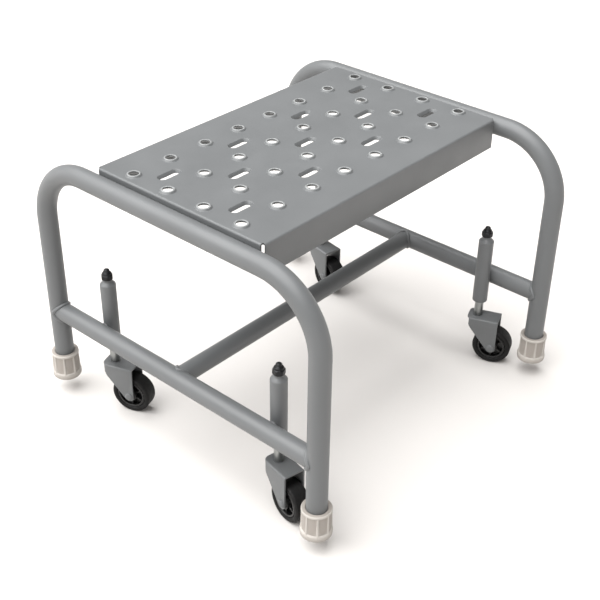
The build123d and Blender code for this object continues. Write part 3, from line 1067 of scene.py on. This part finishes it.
THREAD_PITCH = 1.25
THREAD_DEPTH = 0.45
CREST = (0.15, 0.35)  # where in each pitch the thread's crest begins and ends
ROOT = (0.75, 0.95)
STEM_TIP = 196.9
TIP_RADIUS, TIP_HEIGHT = 1.6, 1.6
THREAD_END = STEM_TIP - TIP_HEIGHT
turns = int((THREAD_END - THREAD_START) / THREAD_PITCH)
thread = [(0, THREAD_START)]
for turn in range(turns):
    start = THREAD_START + turn * THREAD_PITCH
    thread += [(ROD_RADIUS, start + along) for along in CREST]
    thread += [(ROD_RADIUS - THREAD_DEPTH, start + along) for along in ROOT]
tip = [(0, THREAD_END), (ROD_RADIUS - 0.3, THREAD_END), (TIP_RADIUS, STEM_TIP), (0, STEM_TIP)]
threaded = lathe(thread + soften(tip, radius=0.5)[1:], steps=48)
at_each_corner("threaded_stem_end", None, threaded, "black", "swivel", stem_place)

NUT_APOTHEM, NUT_CORNER = 6.5, 7.15
COLLAR_RADIUS, COLLAR_MOUTH = 5.6, 4.6
HEX_TOP = NECK_TOP + 6.5
NUT_TOP = 192.4
nut_outline = [
    (ROD_RADIUS, NECK_TOP), (NUT_CORNER, NECK_TOP), (NUT_CORNER, HEX_TOP - 1), (COLLAR_RADIUS, HEX_TOP),
    (COLLAR_RADIUS, NUT_TOP - 1), (COLLAR_MOUTH, NUT_TOP), (ROD_RADIUS, NUT_TOP),
]


def hexagonal(angle, radius, height):
    """Cuts a radius back to a hexagon's flat sides, at any height."""
    from_flat = (angle + pi / 6) % (pi / 3) - pi / 6
    return min(radius, NUT_APOTHEM / cos(from_flat))


nut = lathe(soften(nut_outline, radius=0.8), steps=96, shape=hexagonal)
at_each_corner("lock_nut_with_collar", "lock_nut", nut, "black", "swivel", stem_place)
print("thread turns", turns)

# %% [markdown]
# ## Casters: springs
# A compression spring with closed ends: its first and last turns lie flat against each other
# and the turns between are spaced. The path is a helix whose rise eases in and out. The
# bent-tube tree sweeps the wire along it.

# %% Springs
SPRING_BOTTOM, SPRING_TOP = 106.4, 168.4
WIRE_RADIUS = 0.7
COIL_RADIUS = 6.0
TURNS = 12
CLOSING = 0.072  # how strongly the rise slows at both ends, up to 1 / (2 pi) for a full stop


def spring_path(steps_per_turn=28):
    """The wire's centreline, in metres."""
    low, high = SPRING_BOTTOM + WIRE_RADIUS, SPRING_TOP - WIRE_RADIUS
    points = []
    for step in range(TURNS * steps_per_turn + 1):
        t = step / (TURNS * steps_per_turn)
        rise = low + (high - low) * (t - CLOSING * sin(2 * pi * t))
        angle = 2 * pi * TURNS * t
        points.append((COIL_RADIUS * cos(angle) * MM, COIL_RADIUS * sin(angle) * MM, rise * MM))
    return line_mesh(points)


wire = grow(tube_tree, spring_path(), Bend=0.0, Radius=WIRE_RADIUS * MM, Around=10, Along=1, Capped=True)
coils = at_each_corner("coiled_spring", "spring", wire, "spring", "frame", stem_place)
for corner, coil in coils.items():
    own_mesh(coil)
print("spring", len(wire.polygons), "faces each")

# %% [markdown]
# ## Casters: forks and axles
# The fork is a pressing: a plate that is folded down on both sides of the wheel. Its shape is
# exact in the frame already, so it is taken from there. The flat facets of that model are
# first merged back into single faces, and then every edge gets the small round that a
# pressing has under its paint.

# %% Forks and axle rivets
def eased(node, radius, merge_angle=1.5):
    """A copy of a frame node with its edges rounded."""
    mesh = frame["nodes"][node].data.copy()
    tidy = bmesh.new()
    tidy.from_mesh(mesh)
    bmesh.ops.remove_doubles(tidy, verts=tidy.verts, dist=ONE_POINT)
    bmesh.ops.dissolve_limit(
        tidy, angle_limit=radians(merge_angle), verts=tidy.verts, edges=tidy.edges, delimit=set()
    )
    tidy.to_mesh(mesh)
    tidy.free()
    return settle(
        mesh, "BEVEL", width=radius * MM, segments=3, limit_method="ANGLE", angle_limit=radians(40),
        use_clamp_overlap=True,
    )


for corner in corners:
    node = f"fork_{corner}"
    mesh = eased(node, radius=0.45)
    fork = piece(f"pressed_fork_{corner}", mesh, "enamel", f"swivel_{corner}", [node])

HALF_FORK = 13.5
AXLE_RADIUS = 3.15
HEAD_RADIUS, HEAD_CREST = 5.6, 3.4
HEAD_END = HALF_FORK + 1.6
head = [(0, HEAD_END), (HEAD_CREST, HEAD_END), (HEAD_RADIUS, HALF_FORK), (AXLE_RADIUS, HALF_FORK)]
rivet_outline = [(radius, -along_axle) for radius, along_axle in head] + head[::-1]
rivet = lathe(soften(rivet_outline, radius=0.7), steps=48)
at_each_corner("riveted_axle", "axle_rivet", rivet, "enamel", "swivel", axle_place)
print("fork", len(fork.data.polygons), "faces")

# %% [markdown]
# ## Wheels
# Each wheel is a moulded core with a hub, a thin web and a rim, and a hard tyre moulded on
# it. Six ribs stiffen the web. They are one small bar, set on the corners of a ring of points
# and turned to face outward.

# %% Wheels
RIM_INNER, RIM_OUTER, RIM_HALF = 15.5, 18.0, 9.0
HUB_RADIUS, HUB_HALF, HUB_BORE = 8.0, 11.0, 4.85
WEB_HALF = 2.0
RIBS = 6
RIB_THICKNESS = 2.0
RIB_ROOT = 0.5  # how far a rib runs into the hub, and into the rim
RIB_SETBACK = 2.0
RIB_EASE = 0.4
TYRE_HALF, TYRE_ROUND = 10, 3.5

core_outline = [
    (HUB_BORE, -HUB_HALF), (HUB_RADIUS, -HUB_HALF), (HUB_RADIUS, -WEB_HALF), (RIM_INNER, -WEB_HALF),
    (RIM_INNER, -RIM_HALF), (RIM_OUTER, -RIM_HALF), (RIM_OUTER, RIM_HALF), (RIM_INNER, RIM_HALF),
    (RIM_INNER, WEB_HALF), (HUB_RADIUS, WEB_HALF), (HUB_RADIUS, HUB_HALF), (HUB_BORE, HUB_HALF),
]
rib_tree, rib_in = new_tree("ribs round a hub", Ribs=6, Radius=0.012)
rib_ring = {"Vertices": rib_in["Ribs"], "Radius": rib_in["Radius"]}
rib_spots = add(rib_tree, "GeometryNodeMeshCircle", links=rib_ring)
outward = add(
    rib_tree, "FunctionNodeAlignRotationToVector",
    links={"Vector": add(rib_tree, "GeometryNodeInputPosition").outputs[0]}, axis="X",
)
rib_set = add(
    rib_tree, "GeometryNodeInstanceOnPoints",
    links={"Points": rib_spots.outputs[0], "Instance": rib_in["Geometry"], "Rotation": outward.outputs[0]},
)
finish_tree(rib_tree, rib_set.outputs[0], "core")

one_rib = bmesh.new()
bmesh.ops.create_cube(one_rib, size=1.0)
rib_size = Vector((RIM_INNER - HUB_RADIUS + 2 * RIB_ROOT, RIB_THICKNESS, 2 * (RIM_HALF - RIB_SETBACK)))
bmesh.ops.scale(one_rib, vec=rib_size * MM, verts=one_rib.verts)
bmesh.ops.bevel(one_rib, geom=one_rib.edges, offset=RIB_EASE * MM, segments=2, affect="EDGES", profile=0.5)
rib = bpy.data.meshes.new("rib")
one_rib.to_mesh(rib)
one_rib.free()
ribs = grow(rib_tree, rib, Ribs=RIBS, Radius=(HUB_RADIUS + RIM_INNER) / 2 * MM)
core = joined([to_mesh(lathe(soften(core_outline, radius=0.6))), ribs])
at_each_corner("moulded_wheel_core", "wheel_core", core, "core", "wheel", axle_place)

tyre_outline = [
    (RIM_OUTER, -TYRE_HALF), (WHEEL_RADIUS, -TYRE_HALF), (WHEEL_RADIUS, TYRE_HALF), (RIM_OUTER, TYRE_HALF),
]
tyre = lathe(soften(tyre_outline, TYRE_ROUND, steps=8), steps=96)
at_each_corner("moulded_tyre", "tyre", tyre, "tyre", "wheel", axle_place)
print("core", len(core.polygons), "faces")

# %% [markdown]
# ## What stays hidden inside
# The bushes, spring seats and axle sleeves are plain rings inside other pieces. They are
# shown as the frame has them, with the finish each would have.

# %% Bushes, seats and sleeves
for corner in corners:
    for node, finish, slot_name in (
        ("lower_bush", "nylon", "nylon"),
        ("upper_bush", "nylon", "nylon"),
        ("spring_seat", "zinc", "zinc_steel"),
        ("wheel_sleeve", "zinc", "zinc_steel"),
    ):
        shown = frame["nodes"][f"{node}_{corner}"]
        shown.data.materials.clear()
        shown.data.materials.append(finishes[finish])
print("hidden rings", 4 * len(corners))

# %% [markdown]
# ## Floor, sky and lights
# A plain studio: a pale floor that runs out to white, and a sky that is brightest near the
# horizon, where it lights the legs. One very wide soft lamp, like an overcast sky, stands high
# on the left and a little behind, and a weak window beside it lifts the rear legs.

# %% Stage
FLOOR_REACH = 20
around = [(-1, -1), (1, -1), (1, 1), (-1, 1)]
floor_mesh = bpy.data.meshes.new("floor")
floor_mesh.from_pydata([(x * FLOOR_REACH, y * FLOOR_REACH, 0) for x, y in around], [], [(0, 1, 2, 3)])
floor = bpy.data.objects.new("floor", floor_mesh)
floor_paint = new_finish("matt_white_studio_floor", Roughness=0.9, Base_Color=colour("CAC7C4"))
floor_mesh.materials.append(floor_paint)
scene.collection.objects.link(floor)
floor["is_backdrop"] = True

world = bpy.data.worlds.new("studio")
world.use_nodes = True
sky = world.node_tree.nodes["Background"]
sky.inputs["Color"].default_value = colour("FFFCFA")
direction = add(world.node_tree, "ShaderNodeTexCoord").outputs["Generated"]
rise = add(world.node_tree, "ShaderNodeSeparateXYZ", links={0: direction}).outputs["Z"]
strength = fade(world.node_tree, rise, 0.08, 0.3, 1.0, 0.38)
world.node_tree.links.new(strength, sky.inputs["Strength"])
scene.world = world
scene.view_settings.view_transform = "Standard"


def lamp(name, kind, at, towards, power, **settings):
    """A light that stands at one point and faces another."""
    light = bpy.data.lights.new(name, kind)
    light.energy = power
    for setting, value in settings.items():
        setattr(light, setting, value)
    made = bpy.data.objects.new(name, light)
    aim = (Vector(towards) - Vector(at)).to_track_quat("-Z", "Y").to_matrix().to_4x4()
    made.matrix_world = Matrix.Translation(at) @ aim
    scene.collection.objects.link(made)


lamp("key", "SUN", (-1.4, 1.0, 4.0), (0, 0, 0), 7.2, angle=radians(80))
lamp("window", "AREA", (-1.3, 1.9, 0.75), (0, 0, 0.15), 6, size=1.1)
print("lights", [light.name for light in bpy.data.lights])

# %% Check and finish
low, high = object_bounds()
print("visual box", [round(side, 4) for side in high - low])
